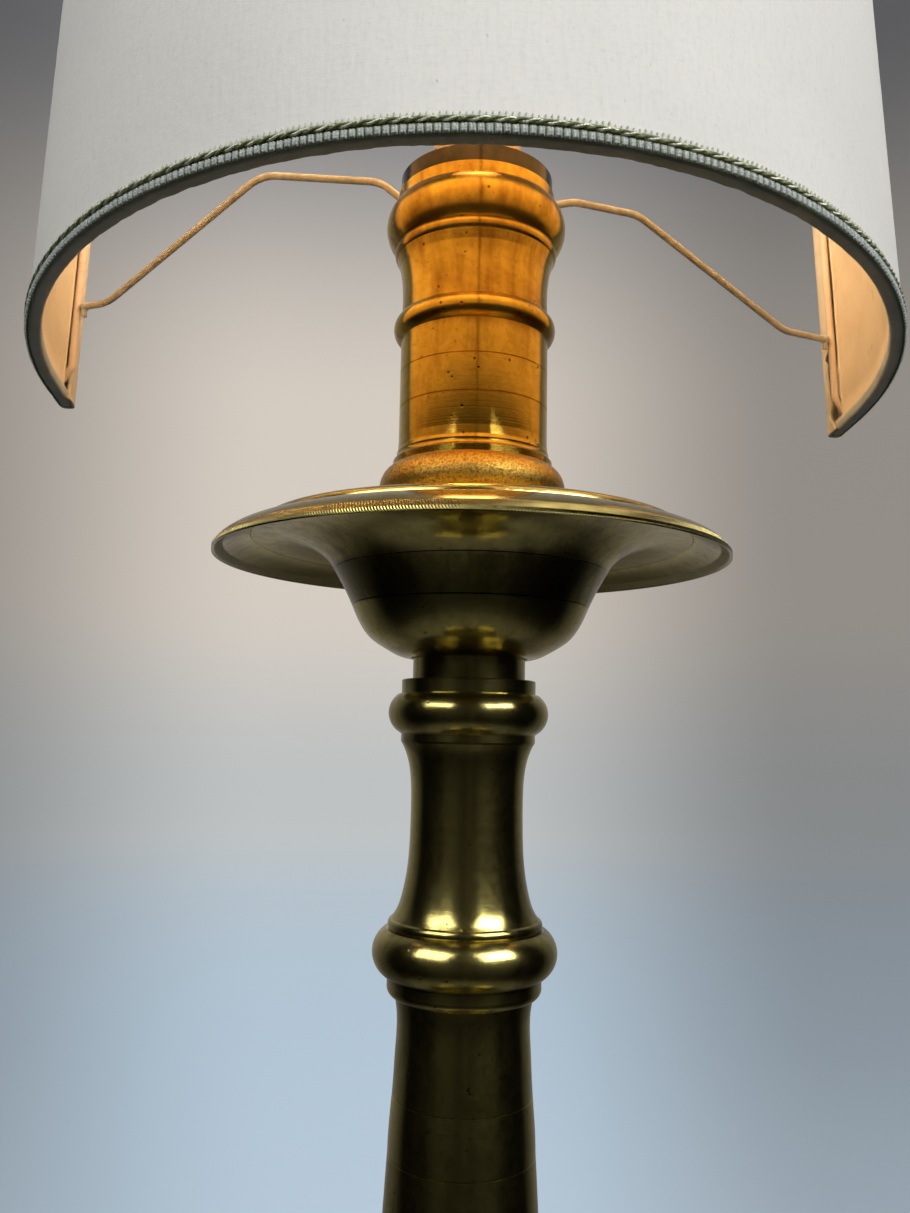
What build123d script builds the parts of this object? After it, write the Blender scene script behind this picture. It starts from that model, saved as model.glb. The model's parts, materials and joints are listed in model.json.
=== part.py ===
"""Turned brass candlestick lamp with a half-round fabric shade that stands open at the back.

Millimetres, +Z up. The origin is on the floor, on the axis of the turned column. The closed front
of the shade faces -Y. Every brass piece is a solid of revolution, so its outline is written as
(radius, height) points, from the bottom up on the outside and back down on the inside.
"""
from build123d import *
import os

# ---- Driving dimensions -------------------------------------------------------------------------
# Heights of the joints between the turned pieces, from the floor up.
FELT_TOP = 3.0
FOOT_TOP = 130.0
FOOT_COLLAR_TOP = 137.0
LOWER_KNOP_TOP = 171.0
LOWER_SHAFT_TOP = 346.8
MIDDLE_KNOP_TOP = 374.6
UPPER_SHAFT_TOP = 452.6
TOP_KNOP_TOP = 480.0
NECK_TOP = 493.0
BOWL_TOP = 527.5
PAN_FLOOR = 531.5
CANDLE_BASE_TOP = 574.5
BAND_TOP = 703.0
CANDLE_TOP = 709.0

# Radii.
FELT_R = 141.0
FOOT_R = 146.0
COLUMN_BORE_R = 19.0            # upper shaft, knops and neck
LOWER_BORE_R = 24.0             # foot collar, lower knop and lower shaft
PAN_R = 113.0
CANDLE_R = 33.5
CANDLE_BORE_R = 29.5
GROOVE = 0.6                    # width and depth of a turned line

# Tie rod, its nuts and the plates it runs through.
ROD_R = 5.0
ROD_BORE_R = 3.5
ROD_HOLE_R = 5.4
ROD_FOOT = 104.0
ROD_TOP = 705.5
NUT_FLATS = 15.0
NUT_HEIGHT = 6.0
WASHER_R = 12.0
WASHER_T = 1.5
FOOT_WEB_UNDER = 122.0
TOP_PLATE_Z = 690.0
PLATE_T = 3.0
DISCS = ((240.0, LOWER_BORE_R), (420.0, COLUMN_BORE_R))

# Cable outlet at the back of the foot.
OUTLET_Z = 11.0
OUTLET_HOLE_R = 4.5
OUTLET_BORE_R = 3.4

# Lampholder and bulb, both on the column's axis.
SLEEVE_R = 20.2
SLEEVE_T = 1.4
HOLDER_Z = 701.0
HOLDER_TOP = 753.0
CUP_R = 18.4
CUP_BORE_R = 14.6
CUP_FLOOR = 716.0
CUP_TOP = 747.0
SHELL_R = 14.3
SHELL_BORE_R = 13.6
BULB_CAP_R = 13.1
BULB_TIP_Z = 718.6
BULB_CAP_TOP = 746.0
BULB_R = 30.0
BULB_TOP = 826.0
GLASS_T = 1.0
BULB_STEM_R = 5.0
DIAGONAL = 0.5 ** 0.5           # sine and cosine of 45 degrees

# Shade carrier: a strip ring that sits on the candle tube's shoulder, and two wire arms.
RING_BORE_R = 33.4
RING_R = 35.2
RING_TOP = 711.0
ARM_WIRE_R = 1.75
ARM_END_ABOVE_HEM = 50.2
ARM_START_Z = 709.0
LEFT_ARM_GAP = 1.4              # from the ring to the middle of an arm's first cut face
RIGHT_ARM_GAP = 0.9
BLOB_R = 2.4                    # solder where an arm meets its end wire
STUB_R = 1.3                    # end of the wire that hangs below the solder
STUB_DROP = 5.5
ARM_BEND_R = 20.0

# Shade, in its own frame: hem at height 0, the column's axis at x = y = 0, closed front at -Y.
SHADE_HEM_Z = 629.7             # height of the hem on the column's axis
SHADE_TILT = -6.0               # degrees about X: the front stands higher than the open back
SHADE_H = 240.0
SHADE_R = 203.0                 # inside of the half-round wall
SHADE_CENTRE_Y = 61.0           # its centre lies behind the column
SHADE_LEG = 19.0                # straight run from the half round to each end
LINING_T = 0.8
LINING_INSET = 17.0             # from the wall's open end to the lining's edge
STRIP_W = 11.0                  # turned-in cloth from the wall's open end towards the end wire
STRIP_T = 0.8
FABRIC_R = 208.2
FABRIC_T = 0.8
FRAME_WIRE_R = 1.6
FRAME_WIRE_AT = 206.1
RIB_AT = SHADE_R - FRAME_WIRE_R - 0.1
END_WIRE_R = 2.0                # a covered wire, which stands proud of the lining
END_WIRE_AT = 201.5
END_WIRE_Y = SHADE_CENTRE_Y + SHADE_LEG - 14.0
END_WIRE_STEP = 8.0             # height over which it steps in from the hoops
HEM_H = 4.5
WIRE_ABOVE_HEM = 6.5
END_TAPE_T = 2.0
BRAID_INSET = 0.3
BEAD_ROW_H = 4.0
ROPE_ROW_H = 2.2
LOOP_ROW_H = 2.4
BEAD_ROW_T = 1.5
ROPE_ROW_T = 1.7
LOOP_ROW_T = 0.9


# ---- Helpers ------------------------------------------------------------------------------------
def turned(start, *steps):
    """Revolve a closed (radius, height) outline. A step is a point for a straight run, a pair
    (through, end) for an arc, or a list of points for a smooth curve."""
    edges = []
    here = start
    for step in steps:
        if isinstance(step, list):
            edges.append(Spline(here, *step))
            here = step[-1]
        elif isinstance(step[0], tuple):
            edges.append(ThreePointArc(here, *step))
            here = step[1]
        else:
            edges.append(Line(here, step))
            here = step
    edges.append(Line(here, start))
    return revolve(make_face(Plane.XZ * Curve(edges)), Axis.Z)


def ring(r_in, r_out, z0, z1):
    """Plain ring with square corners."""
    return turned((r_in, z0), (r_out, z0), (r_out, z1), (r_in, z1))


def groove(radius, z):
    """Ring-shaped cutter for a turned line on a surface of this radius."""
    return turned((radius - GROOVE, z), (radius + GROOVE, z - GROOVE), (radius + GROOVE, z + GROOVE))


def hex_nut(z):
    """Hexagonal nut on the tie rod, its underside at z."""
    body = extrude(RegularPolygon(NUT_FLATS / 2, 6, major_radius=False), NUT_HEIGHT)
    return Pos(0, 0, z) * (body - Cylinder(ROD_R, 3 * NUT_HEIGHT))


def shade_line(radius, leg=SHADE_LEG):
    """Plan of the shade at this radius: a straight leg, the half round and the other leg."""
    end_y = SHADE_CENTRE_Y + leg
    left, right = (-radius, SHADE_CENTRE_Y), (radius, SHADE_CENTRE_Y)
    front = (0, SHADE_CENTRE_Y - radius)
    return [
        Line((-radius, end_y), left),
        ThreePointArc(left, front, right),
        Line(right, (radius, end_y)),
    ]


def shade_band(r_in, r_out, z0, z1, leg=SHADE_LEG):
    """Wall that follows the shade's plan from r_in to r_out, between two heights."""
    end_y = SHADE_CENTRE_Y + leg
    caps = [Line((side * r_in, end_y), (side * r_out, end_y)) for side in (-1, 1)]
    face = make_face(Curve(shade_line(r_in, leg) + shade_line(r_out, leg) + caps))
    return Pos(0, 0, z0) * extrude(face, z1 - z0)


def placed(shape):
    """Tilt a shape or a place from the shade's own frame and set it at the shade's height."""
    return Pos(0, 0, SHADE_HEM_Z) * Rot(SHADE_TILT, 0, 0) * shape


# ---- Foot and column ----------------------------------------------------------------------------
def base_felt():
    """Baize disc that closes the hollow foot."""
    return Pos(0, 0, FELT_TOP / 2) * Cylinder(FELT_R, FELT_TOP)


def foot():
    """Hollow bell foot: moulded edge, cove, step and a concave dome up to a flat seat."""
    body = turned(
        (138, FELT_TOP), (143, FELT_TOP), ((FOOT_R, 11), (143, 19)), (140, 20),
        [(131, 23), (123, 31)], (123, 35), ((121.5, 38), (118, 39)), (115, 39),
        [(98, 50), (78, 72), (60, 100), (48, 124)], (46, FOOT_TOP), (ROD_HOLE_R, FOOT_TOP),
        (ROD_HOLE_R, FOOT_WEB_UNDER), (42, FOOT_WEB_UNDER),
        [(54, 98), (72, 69), (94, 45), (112, 34)], (118, 31), [(126, 19), (136, 15)],
    )
    hole = Pos(0, FOOT_R, OUTLET_Z) * Rot(90, 0, 0) * Cylinder(OUTLET_HOLE_R, 30)
    return body - hole


def cable_bush():
    """Flanged bush in the foot's rear wall, where a lead would leave."""
    tube = Pos(0, FOOT_R - 4, OUTLET_Z) * Rot(90, 0, 0) * Cylinder(OUTLET_HOLE_R - 0.05, 14)
    flange = Pos(0, FOOT_R + 2, OUTLET_Z) * Rot(90, 0, 0) * Cylinder(6.5, 2)
    bore = Pos(0, FOOT_R, OUTLET_Z) * Rot(90, 0, 0) * Cylinder(OUTLET_BORE_R, 60)
    return tube + flange - bore


def foot_collar():
    """Rounded ring between the foot and the lower knop."""
    z0, z1 = FOOT_TOP, FOOT_COLLAR_TOP
    return turned((LOWER_BORE_R, z0), (40, z0), ((43.5, (z0 + z1) / 2), (40, z1)), (LOWER_BORE_R, z1))


def lower_knop():
    """Large bead below the shaft."""
    z0, z1 = FOOT_COLLAR_TOP, LOWER_KNOP_TOP
    return turned((LOWER_BORE_R, z0), (37, z0), ((48.5, (z0 + z1) / 2), (37, z1)), (LOWER_BORE_R, z1))


def lower_shaft():
    """Long tapering shaft with a flared base and two turned lines near its top."""
    body = turned(
        (LOWER_BORE_R, LOWER_KNOP_TOP), (40, LOWER_KNOP_TOP), ((41.5, 174), (40, 177)), (38.6, 178),
        [(36.4, 190), (34.6, 217), (32.3, 261), (31.0, 284)],
        [(30.2, 300), (29.4, 310), (28.7, 324), (28.2, 336), (28.6, 342), (29.6, LOWER_SHAFT_TOP)],
        (LOWER_BORE_R, LOWER_SHAFT_TOP),
    )
    return body - groove(31.0, 284) - groove(29.7, 307)


def middle_knop():
    """Bead over a rounded ring, between the two shafts."""
    z0, z1 = LOWER_SHAFT_TOP, MIDDLE_KNOP_TOP
    return turned(
        (COLUMN_BORE_R, z0), (29.8, z0), ((32.2, z0 + 1.6), (32.9, z0 + 4.5)), (32.9, z0 + 8.6),
        (34.4, z0 + 8.8), ((39.5, z0 + 18.4), (34, z1)), (COLUMN_BORE_R, z1),
    )


def upper_shaft():
    """Waisted shaft that flares at its foot like a bell."""
    z0, z1 = MIDDLE_KNOP_TOP, UPPER_SHAFT_TOP
    return turned(
        (COLUMN_BORE_R, z0), (32.4, z0), ((33.1, z0 + 1.8), (32.4, z0 + 3.6)), (31.5, z0 + 4.2),
        [(28.8, z0 + 8.8), (27.3, z0 + 13.8), (25.4, z0 + 24), (24.4, z0 + 40), (24.3, z0 + 54),
         (25.0, z0 + 65.6), (26.4, z0 + 72.2), (28.9, z1)],
        (COLUMN_BORE_R, z1),
    )


def top_knop():
    """Small bead between a thin ring below and a plain collar above."""
    z0, z1 = UPPER_SHAFT_TOP, TOP_KNOP_TOP
    return turned(
        (COLUMN_BORE_R, z0), (29.0, z0), (29.3, z0 + 0.8), (29.3, z0 + 3.8), (30.4, z0 + 4.6),
        ((34.95, z0 + 13.8), (31.0, z0 + 21.0)), (29.4, z0 + 21.6), (29.4, z1 - 0.4),
        (29.0, z1), (COLUMN_BORE_R, z1),
    )


def neck():
    """Plain drum that enters the recess under the bowl."""
    return ring(COLUMN_BORE_R, 24.7, TOP_KNOP_TOP, NECK_TOP)


def bowl_cup():
    """Hollow half-round cup under the pan, with one turned line."""
    wall = 3.5
    body = turned(
        (25.6, NECK_TOP - 3.2), (26.6, NECK_TOP - 3.6),
        [(31, NECK_TOP - 2.6), (37.2, NECK_TOP + 0.6), (44, NECK_TOP + 5.2), (48.6, NECK_TOP + 11.4),
         (52.2, NECK_TOP + 19.1)],
        [(56, 520), (60.4, BOWL_TOP)], (60.4 - wall, BOWL_TOP),
        [(52, 519), (48.4, 511), (42, 502), (34, 498)], (ROD_HOLE_R, 498),
        (ROD_HOLE_R, NECK_TOP), (25.6, NECK_TOP),
    )
    return body - groove(52.2, NECK_TOP + 19.1)


def drip_pan():
    """Brimmed pan: flat floor, trumpet flare, raised lip and a brim turned down at its edge."""
    body = turned(
        (ROD_HOLE_R, BOWL_TOP), (60.4, BOWL_TOP),
        [(64.2, 532.4), (70, 536.6), (78, 539.6), (88, 540.9), (97, 540.4)],
        [(105, 537), (112.4, 532.2)], (PAN_R, 532.0), (PAN_R, 534.0),
        [(110, 537.4), (104, 541), (96, 543.4)], (95, 542.9), (94.2, 543.8),
        ((90.6, 547), (87, 545.2)), (85.4, 543.6), [(76, 542.0), (67, 538), (61.5, PAN_FLOOR + 1)],
        (59, PAN_FLOOR), (ROD_HOLE_R, PAN_FLOOR),
    )
    return body - groove(60.4, BOWL_TOP) - groove_under(97, 540.4)


def groove_under(radius, z):
    """Cutter for a turned line on a face that looks down."""
    return turned((radius - GROOVE, z - GROOVE), (radius + GROOVE, z - GROOVE), (radius, z + GROOVE / 2))


def candle_base():
    """Cast ring foot of the candle tube, standing on the pan's floor."""
    bore = 24.0
    return turned(
        (bore, PAN_FLOOR), (36, PAN_FLOOR), (34, PAN_FLOOR + 6), (34, 552), (37, 556.5),
        ((41.6, 565.2), (36.4, CANDLE_BASE_TOP)), (bore, CANDLE_BASE_TOP),
    )


def candle_tube():
    """Tube like a candle: moulded foot, two turned lines, a sharp ring, a flared lip and a bead."""
    z0 = CANDLE_BASE_TOP
    body = turned(
        (CANDLE_BORE_R, z0), (35.8, z0), (35.8, z0 + 3), ((34.6, z0 + 4.2), (34.3, z0 + 6.4)),
        (CANDLE_R + 0.3, z0 + 8), (CANDLE_R, z0 + 12), (CANDLE_R, 633.6), (34.4, 634.2),
        ((36.9, 639.0), (34.6, 644.2)), (33.5, 645.0), [(33.2, 652), (33.5, 661), (34.6, 668.5)],
        (36.0, 672.6), ((37.2, 675), (36.6, 677.4)), (37.4, 678), ((41.3, 687.6), (37.2, 697.4)),
        (36.2, 697.8), (36.2, BAND_TOP), (33.0, BAND_TOP), (33.0, CANDLE_TOP),
        (CANDLE_BORE_R, CANDLE_TOP),
    )
    return body - groove(CANDLE_R, 601.5) - groove(CANDLE_R, 618.2)


# ---- Tie rod and the parts on it ----------------------------------------------------------------
def threaded_rod():
    """Hollow steel rod that clamps the whole column."""
    return ring(ROD_BORE_R, ROD_R, ROD_FOOT, ROD_TOP)


def rod_nuts():
    """One nut under the foot's web and one on the plate in the candle tube."""
    under_foot = FOOT_WEB_UNDER - WASHER_T - NUT_HEIGHT
    on_plate = TOP_PLATE_Z + PLATE_T + WASHER_T
    return Compound(children=[hex_nut(under_foot), hex_nut(on_plate)])


def rod_washers():
    """Flat washers against the foot's web and the top plate."""
    heights = (FOOT_WEB_UNDER - WASHER_T, TOP_PLATE_Z + PLATE_T)
    return Compound(children=[ring(ROD_HOLE_R, WASHER_R, z, z + WASHER_T) for z in heights])


def top_plate():
    """Steel disc across the candle tube, which the upper nut pulls down."""
    return ring(ROD_HOLE_R, CANDLE_BORE_R - 0.05, TOP_PLATE_Z, TOP_PLATE_Z + PLATE_T)


def centring_discs():
    """Steel discs that keep the rod in the middle of the hollow shafts."""
    return Compound(children=[ring(ROD_HOLE_R, bore - 0.05, z, z + PLATE_T) for z, bore in DISCS])


# ---- Lampholder and bulb ------------------------------------------------------------------------
def holder_base():
    """Bottom of the lampholder, screwed on the end of the rod."""
    return ring(ROD_R, CUP_R, HOLDER_Z, HOLDER_Z + 5)


def holder_cup():
    """Ceramic cup that carries the contacts."""
    return turned(
        (3.0, HOLDER_Z + 5), (CUP_R, HOLDER_Z + 5), (CUP_R, CUP_TOP), (CUP_BORE_R, CUP_TOP),
        (CUP_BORE_R, CUP_FLOOR), (3.0, CUP_FLOOR),
    )


def holder_sleeve():
    """Card sleeve round the lampholder, dressed as the top of the candle."""
    inner = SLEEVE_R - SLEEVE_T
    return turned(
        (inner, HOLDER_Z), (SLEEVE_R, HOLDER_Z), (SLEEVE_R, HOLDER_TOP - 1), (SLEEVE_R - 0.6, HOLDER_TOP),
        (inner, HOLDER_TOP),
    )


def screw_shell():
    """Threaded brass shell in the cup."""
    return ring(SHELL_BORE_R, SHELL_R, CUP_FLOOR + 4, CUP_TOP - 2)


def centre_contact():
    """Sprung tab on the cup's floor, under the bulb's tip."""
    return Pos(0, 0, CUP_FLOOR + 1.2) * Cylinder(4.0, 2.4)


def bulb_tip():
    """Solder contact at the bottom of the bulb."""
    return turned((0, BULB_TIP_Z), (2.6, BULB_TIP_Z), (4.5, BULB_TIP_Z + 1.8), (0, BULB_TIP_Z + 1.8))


def bulb_insulator():
    """Black glass button between the tip and the cap."""
    z0 = BULB_TIP_Z + 1.8
    return turned((0, z0), (5, z0), (10.5, z0 + 3), (0, z0 + 3))


def bulb_cap():
    """Screw cap, a thin cup."""
    z0 = BULB_TIP_Z + 4.8
    return turned(
        (0, z0), (10.5, z0), (12.2, z0 + 1.6), (BULB_CAP_R, z0 + 4), (BULB_CAP_R, BULB_CAP_TOP),
        (BULB_CAP_R - 0.5, BULB_CAP_TOP), (BULB_CAP_R - 0.5, z0 + 4), (10.2, z0 + 0.6), (0, z0 + 0.6),
    )


def bulb_glass():
    """Pear-shaped envelope, open at the bottom where the stem is fused in."""
    neck_r = BULB_CAP_R - 0.6
    z0 = BULB_CAP_TOP - 8
    belly = BULB_TOP - BULB_R
    inner_r = BULB_R - GLASS_T
    return turned(
        (BULB_STEM_R, z0), (neck_r, z0), (neck_r, BULB_CAP_TOP + 0.5), (15.4, BULB_CAP_TOP + 4),
        [(19.5, BULB_CAP_TOP + 16), (27, BULB_CAP_TOP + 33), (BULB_R, belly)],
        ((BULB_R * DIAGONAL, belly + BULB_R * DIAGONAL), (0, BULB_TOP)), (0, BULB_TOP - GLASS_T),
        ((inner_r * DIAGONAL, belly + inner_r * DIAGONAL), (inner_r, belly)),
        [(26, BULB_CAP_TOP + 33), (18.5, BULB_CAP_TOP + 16), (14.2, BULB_CAP_TOP + 4)],
        (neck_r - 1.2, BULB_CAP_TOP), (neck_r - 1.2, z0 + 2), (BULB_STEM_R, z0 + 2),
    )


def bulb_stem():
    """Glass post that carries the filament inside the bulb."""
    z0 = BULB_CAP_TOP - 8
    return turned((0, z0), (BULB_STEM_R, z0), (BULB_STEM_R, z0 + 10), (2.4, z0 + 28), (2.0, z0 + 40), (0, z0 + 40))


def bulb_filament():
    """Coiled filament between two lead wires, all round the top of the stem."""
    z0 = BULB_CAP_TOP + 32
    coil = Pos(0, 0, z0 + 14) * Torus(11, 0.6)
    leads = [Pos(side * 11, 0, z0 + 7) * Cylinder(0.4, 12.4) for side in (-1, 1)]
    feet = [Pos(side * 6.5, 0, z0 + 1) * Rot(0, 90, 0) * Cylinder(0.4, 9.8) for side in (-1, 1)]
    return Compound(children=[coil] + leads + feet)


# ---- Shade carrier ------------------------------------------------------------------------------
def carrier_ring():
    """Steel strip ring that sits on the candle tube's shoulder."""
    return ring(RING_BORE_R, RING_R, BAND_TOP, RING_TOP)


def arm(side, route):
    """Bent wire from the ring out to an end wire. The route is (distance from the axis, height)."""
    end = placed(Pos(side * END_WIRE_AT, END_WIRE_Y, ARM_END_ABOVE_HEM)).position
    reach = (end.X ** 2 + end.Y ** 2) ** 0.5
    out = (end.X / reach, end.Y / reach)
    last = reach - END_WIRE_R - ARM_WIRE_R
    points = [Vector(out[0] * s, out[1] * s, z) for s, z in route + [(last, end.Z)]]
    path = FilletPolyline(*points, radius=ARM_BEND_R)
    start = Plane(origin=points[0], z_dir=points[1] - points[0])
    wire = sweep(start * Circle(ARM_WIRE_R), path=path)
    x, y, z = out[0] * (last - 0.8), out[1] * (last - 0.8), end.Z
    stub = Pos(x, y, z - STUB_DROP / 2) * Cylinder(STUB_R, STUB_DROP)
    return wire + Pos(x, y, z) * Sphere(BLOB_R) + stub


def arm_left():
    """Left arm: rises from the ring, runs out, bends down and levels off at the end wire."""
    return arm(-1, [(RING_R + LEFT_ARM_GAP, ARM_START_Z), (48, 719.5), (111.3, 731.7), (196, 673.2)])


def arm_right():
    """Right arm, bent a little nearer to the column."""
    return arm(1, [(RING_R + RIGHT_ARM_GAP, ARM_START_Z), (52, 715.3), (89, 716.9), (181, 672.7)])


# ---- Shade frame --------------------------------------------------------------------------------
def plan_wire(z):
    """Wire hoop that follows the shade's plan at a height above the hem."""
    path = Pos(0, 0, z) * Wire(shade_line(FRAME_WIRE_AT))
    start = Plane(origin=path @ 0, z_dir=path % 0)
    return placed(sweep(start * Circle(FRAME_WIRE_R), path=path))


def frame_end_wire(side):
    """Upright near one open end, which steps in from the two hoops to stand inside the lining."""
    foot_z = WIRE_ABOVE_HEM + FRAME_WIRE_R
    heights = (foot_z, foot_z + END_WIRE_STEP)
    low = [(side * x, END_WIRE_Y, z) for x, z in zip((FRAME_WIRE_AT, END_WIRE_AT), heights)]
    high = [(x, y, SHADE_H - z) for x, y, z in reversed(low)]
    foot, head = [(low[0][0], END_WIRE_Y, z) for z in (foot_z - 2, SHADE_H - foot_z + 2)]
    path = FilletPolyline(foot, *low, *high, head, radius=3)
    wire = sweep(Plane(origin=foot, z_dir=(0, 0, 1)) * Circle(END_WIRE_R), path=path)
    hoops = [Pos(side * FRAME_WIRE_AT, END_WIRE_Y, z) * Box(9, 9, 2 * FRAME_WIRE_R + 4)
             for z in (WIRE_ABOVE_HEM - 2, SHADE_H - WIRE_ABOVE_HEM + 2)]
    return placed(wire - hoops[0] - hoops[1])


def frame_front_rib():
    """Upright in the middle of the closed front, inside the lining, with its ends in the hem tapes' reach."""
    height = SHADE_H - 2 * (HEM_H + 1.0)
    return placed(Pos(0, SHADE_CENTRE_Y - RIB_AT, SHADE_H / 2) * Cylinder(FRAME_WIRE_R, height))


# ---- Shade cover and trim -----------------------------------------------------------------------
def shade_lining():
    """Stiff card inside the frame. It stops short of the end wires, which stay in sight."""
    leg = SHADE_LEG - LINING_INSET
    return placed(shade_band(SHADE_R, SHADE_R + LINING_T, HEM_H, SHADE_H - HEM_H, leg))


def shade_fabric():
    """Linen cover outside the frame."""
    return placed(shade_band(FABRIC_R, FABRIC_R + FABRIC_T, HEM_H, SHADE_H - HEM_H))


def hem_tape(z0):
    """Thick rolled tape that closes the wall's edge from lining to fabric."""
    return placed(shade_band(SHADE_R, FABRIC_R + FABRIC_T, z0, z0 + HEM_H))


def end_tape(side):
    """Folded strip down one open end: a cap over the wall's edge and a turned-in flange."""
    end_y = SHADE_CENTRE_Y + SHADE_LEG
    width = FABRIC_R + FABRIC_T - SHADE_R
    cap = Pos(side * (SHADE_R + width / 2), end_y + END_TAPE_T / 2, SHADE_H / 2) * Box(width, END_TAPE_T, SHADE_H)
    flange_x = side * (SHADE_R + STRIP_T / 2)
    flange = Box(STRIP_T, STRIP_W, SHADE_H - 2 * HEM_H)
    return placed(cap + Pos(flange_x, end_y - STRIP_W / 2, SHADE_H / 2) * flange)


def braid_row(thickness, z0, height):
    """One row of the braid, proud of the fabric."""
    face = FABRIC_R + FABRIC_T
    return placed(shade_band(face, face + thickness, z0, z0 + height))


def braid(at_top):
    """The three rows of the braid, as (name, solid), from the shade's edge inwards."""
    rows = (
        ("beads", BEAD_ROW_T, BEAD_ROW_H),
        ("rope", ROPE_ROW_T, ROPE_ROW_H),
        ("loops", LOOP_ROW_T, LOOP_ROW_H),
    )
    inset = BRAID_INSET
    found = []
    for name, thickness, height in rows:
        z0 = SHADE_H - inset - height if at_top else inset
        found.append((name, braid_row(thickness, z0, height)))
        inset += height
    return found


# ---- Write one file per node --------------------------------------------------------------------
nodes = {
    "base_felt": base_felt(),
    "foot": foot(),
    "cable_bush": cable_bush(),
    "foot_collar": foot_collar(),
    "lower_knop": lower_knop(),
    "lower_shaft": lower_shaft(),
    "middle_knop": middle_knop(),
    "upper_shaft": upper_shaft(),
    "top_knop": top_knop(),
    "neck": neck(),
    "bowl_cup": bowl_cup(),
    "drip_pan": drip_pan(),
    "candle_base": candle_base(),
    "candle_tube": candle_tube(),
    "threaded_rod": threaded_rod(),
    "rod_nuts": rod_nuts(),
    "rod_washers": rod_washers(),
    "top_plate": top_plate(),
    "centring_discs": centring_discs(),
    "holder_base": holder_base(),
    "holder_cup": holder_cup(),
    "holder_sleeve": holder_sleeve(),
    "screw_shell": screw_shell(),
    "centre_contact": centre_contact(),
    "bulb_tip": bulb_tip(),
    "bulb_insulator": bulb_insulator(),
    "bulb_cap": bulb_cap(),
    "bulb_glass": bulb_glass(),
    "bulb_stem": bulb_stem(),
    "bulb_filament": bulb_filament(),
    "carrier_ring": carrier_ring(),
    "arm_left": arm_left(),
    "arm_right": arm_right(),
    "frame_bottom_wire": plan_wire(WIRE_ABOVE_HEM),
    "frame_top_wire": plan_wire(SHADE_H - WIRE_ABOVE_HEM),
    "frame_end_wire_left": frame_end_wire(-1),
    "frame_end_wire_right": frame_end_wire(1),
    "frame_front_rib": frame_front_rib(),
    "shade_lining": shade_lining(),
    "shade_fabric": shade_fabric(),
    "bottom_hem_tape": hem_tape(0),
    "top_hem_tape": hem_tape(SHADE_H - HEM_H),
    "end_tape_left": end_tape(-1),
    "end_tape_right": end_tape(1),
}
for edge, at_top in (("bottom", False), ("top", True)):
    for row, solid in braid(at_top):
        nodes[f"{edge}_braid_{row}"] = solid

os.makedirs("parts", exist_ok=True)
for name, solid in nodes.items():
    export_step(solid, f"parts/{name}.step")
print(len(nodes), "nodes")
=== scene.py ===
"""Looks for the brass candlestick lamp: trim, cloth and card built in mesh code, and every finish."""
import json
import math

import bpy
import numpy as np
from mathutils import Matrix, Vector


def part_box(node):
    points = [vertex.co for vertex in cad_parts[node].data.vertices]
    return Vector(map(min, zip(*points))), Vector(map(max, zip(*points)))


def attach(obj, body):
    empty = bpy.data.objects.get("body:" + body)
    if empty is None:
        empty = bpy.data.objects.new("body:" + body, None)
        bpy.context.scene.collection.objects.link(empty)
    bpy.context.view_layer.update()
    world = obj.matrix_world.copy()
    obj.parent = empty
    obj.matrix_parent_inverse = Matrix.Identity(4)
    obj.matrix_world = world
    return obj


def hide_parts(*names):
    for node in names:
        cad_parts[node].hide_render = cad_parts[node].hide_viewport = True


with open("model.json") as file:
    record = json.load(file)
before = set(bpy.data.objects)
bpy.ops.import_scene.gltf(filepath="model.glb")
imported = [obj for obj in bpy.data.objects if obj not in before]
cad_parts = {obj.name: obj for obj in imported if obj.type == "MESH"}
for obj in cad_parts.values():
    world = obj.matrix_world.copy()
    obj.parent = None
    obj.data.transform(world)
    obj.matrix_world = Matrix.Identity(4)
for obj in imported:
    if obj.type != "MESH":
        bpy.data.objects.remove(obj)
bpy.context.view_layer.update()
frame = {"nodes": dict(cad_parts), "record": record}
nodes = frame["nodes"]

# ---- Dimensions of the shade, as in the CAD source, in metres ------------------------------------
HEM_Z = 0.6297
TILT = math.radians(-6.0)
SHADE_H = 0.240
SHADE_R = 0.203
CENTRE_Y = 0.061
LEG = 0.019
LINING_INSET = 0.017
STRIP_W = 0.011
FABRIC_R = 0.2082
FABRIC_T = 0.0008
FACE_R = FABRIC_R + FABRIC_T
HEM_H = 0.0045
TRIM_INSET = 0.0003
BEAD_ROW = (0.0040, 0.0015)         # height and thickness of each row of the braid
ROPE_ROW = (0.0022, 0.0017)
LOOP_ROW = (0.0024, 0.0009)
PATH = math.pi * FACE_R + 2 * LEG   # length of the shade's outer face from end to end
END_Y = CENTRE_Y + LEG
FOOT_R = 0.141                      # of the felt

# ---- Numbers for the looks -----------------------------------------------------------------------
MILLED_CUTS = 620.0                 # round the pan's edge
MILLED_SLANT = 2600.0               # more of it leans the cuts further over
PAN_EDGE_Z = (0.5325, 0.5368)       # the pan's turned-down edge, where it has the cuts
PAN_EDGE_R = (0.1080, 0.1095)
WARP_PITCH = 0.00062                # between the linen's threads, along the wall and up it
WEFT_PITCH = 0.00058
TAPE_PITCH = 0.0006
BULB_GLOW = 14.0                    # of the glass itself
BULB_POWER = 2.0                    # of the light inside it, in watts
BULB_AT = (0, 0, 0.842)
KEY_LEFT_POWER = 27
KEY_RIGHT_POWER = 46
KEY_SIZE = (1.5, 1.1)
KEY_RISE = math.radians(40)         # of both soft boxes above level
KEY_DISTANCE = 2.2
LAMP_MIDDLE = Vector((0, 0, 0.5))   # the soft boxes look at it
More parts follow.
